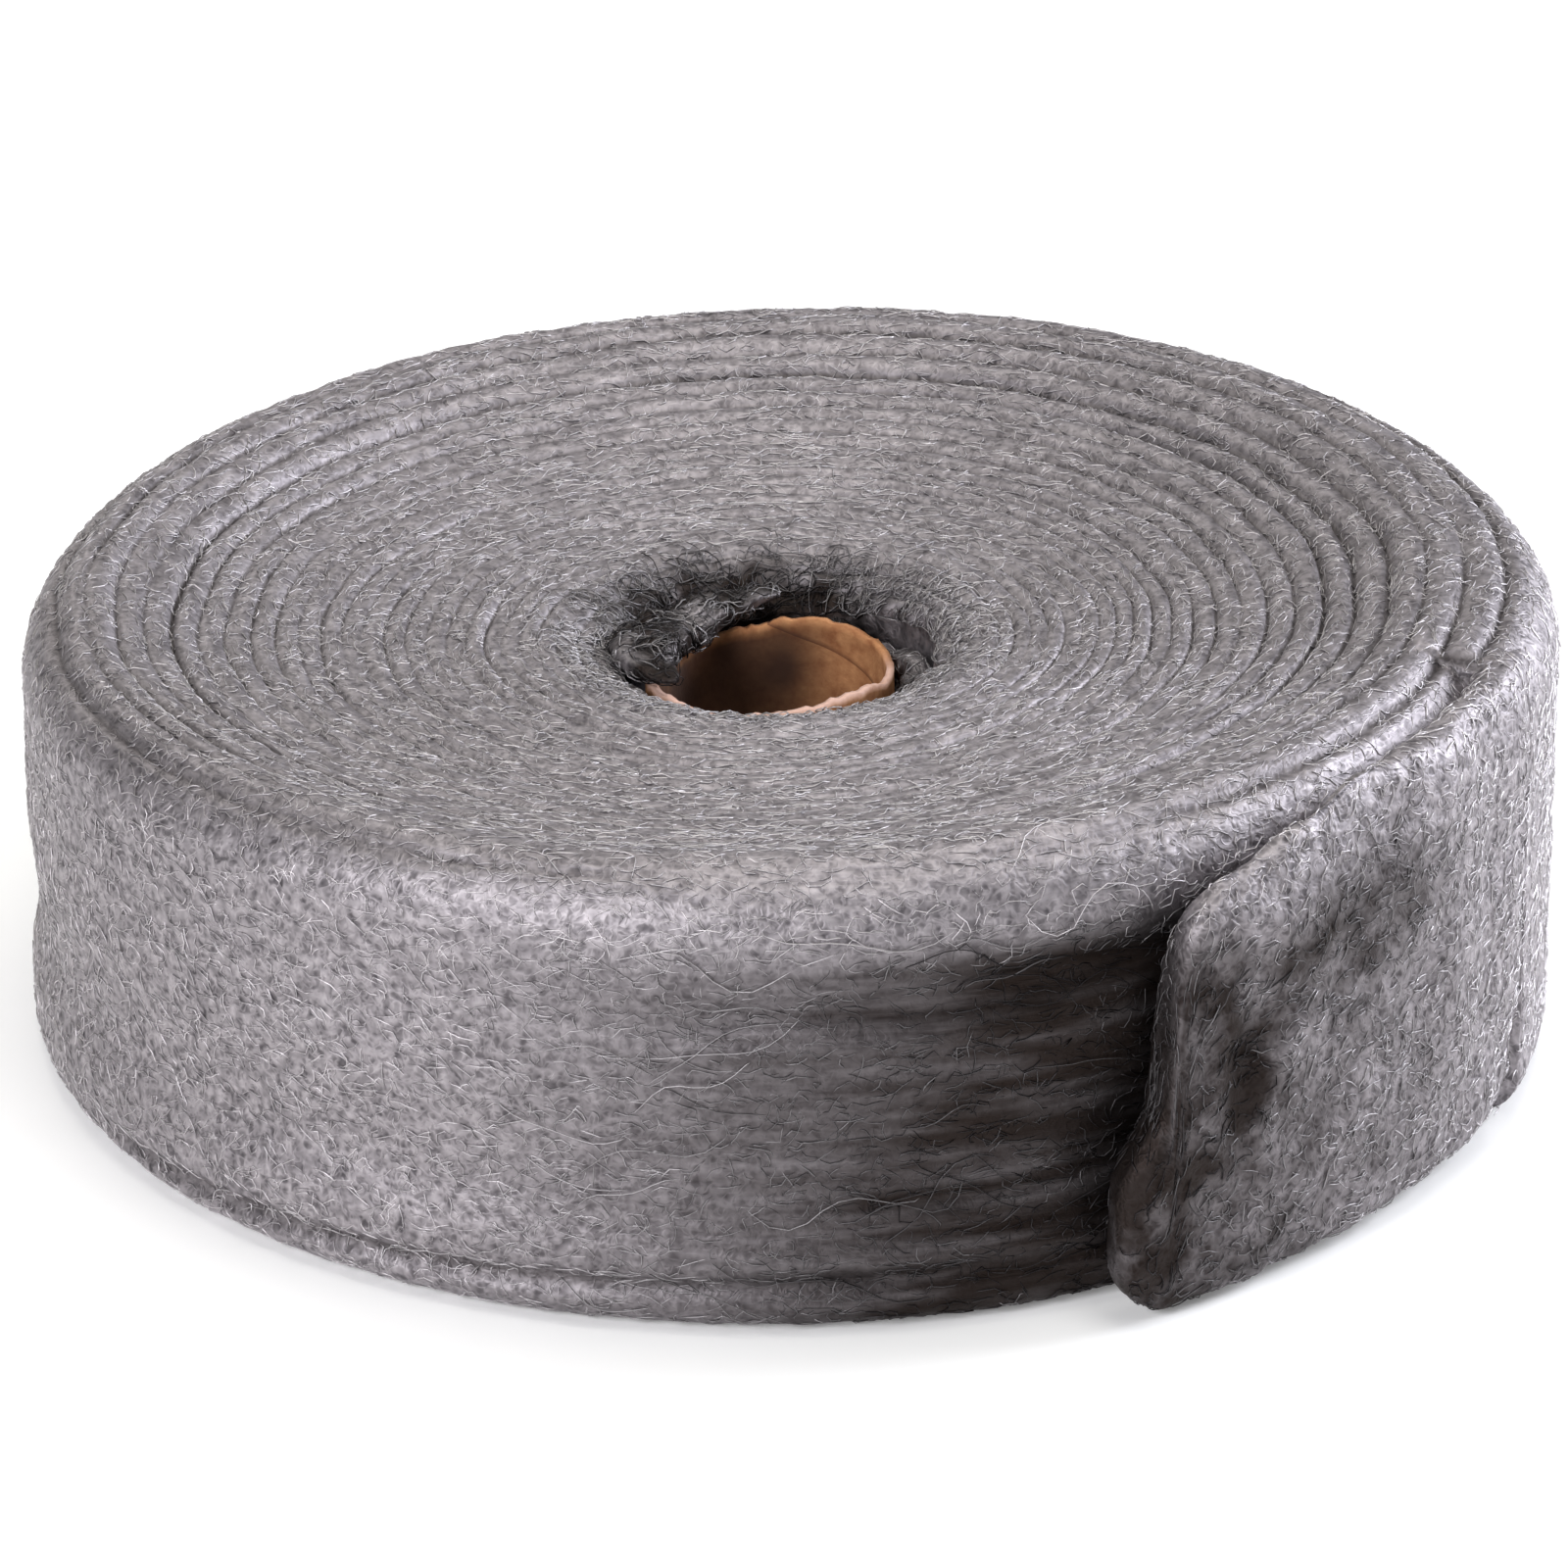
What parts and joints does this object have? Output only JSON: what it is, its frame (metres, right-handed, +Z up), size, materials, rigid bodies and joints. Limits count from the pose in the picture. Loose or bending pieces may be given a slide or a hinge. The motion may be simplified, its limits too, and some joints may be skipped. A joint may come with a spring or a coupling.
{
  "type": "steel wool roll",
  "caption": "Thick roll of steel wool ribbon wound on a crushed cardboard tube, standing on its end, with the ribbon's loose end hanging at the side.",
  "frame": {"origin": "under the middle of the roll's outline, at the surface that the roll stands on", "axes": "+Z up along the winding's axis; +X to the right and -Y to the front as the picture shows the roll, with the loose end at the front right"},
  "size_m": [0.3228, 0.3159, 0.1046],
  "materials": {
    "steel_wool": "fine tangled steel fibres, mid grey, dull with small glints",
    "kraft_board": "bare brown kraft board, matt"
  },
  "bodies": {
    "root": {"wool_roll": "steel_wool", "core_tube": "kraft_board"}
  },
  "joints": []
}
